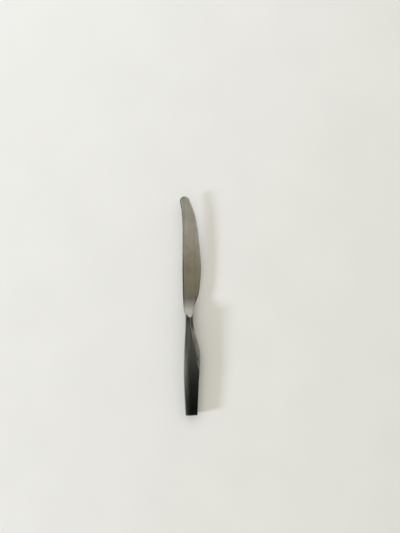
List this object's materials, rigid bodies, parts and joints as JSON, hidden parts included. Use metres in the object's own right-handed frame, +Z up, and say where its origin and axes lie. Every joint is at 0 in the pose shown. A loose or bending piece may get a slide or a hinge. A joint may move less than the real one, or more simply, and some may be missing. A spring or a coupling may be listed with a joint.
{
  "type": "dinner knife",
  "caption": "Table knife for eating: a broad steel blade with a round, swept tip and a scooped bolster, set in a slim hollow steel handle with softly crowned broad faces and a finger facet.",
  "frame": {"origin": "middle of the handle's lower broad face, which lies on the table", "axes": "+Y along the knife from butt to tip, +X across it from spine to cutting edge, +Z up off the table"},
  "size_m": [0.0194, 0.2052, 0.0103],
  "materials": {
    "blade_steel": "satin",
    "handle_steel": "satin",
    "silver_braze": "satin",
    "handle_cement": "matte"
  },
  "bodies": {
    "root": {"blade": "blade_steel", "handle_half_upper": "handle_steel", "handle_half_lower": "handle_steel", "seam_braze": "silver_braze", "tang_cement": "handle_cement"}
  },
  "joints": []
}
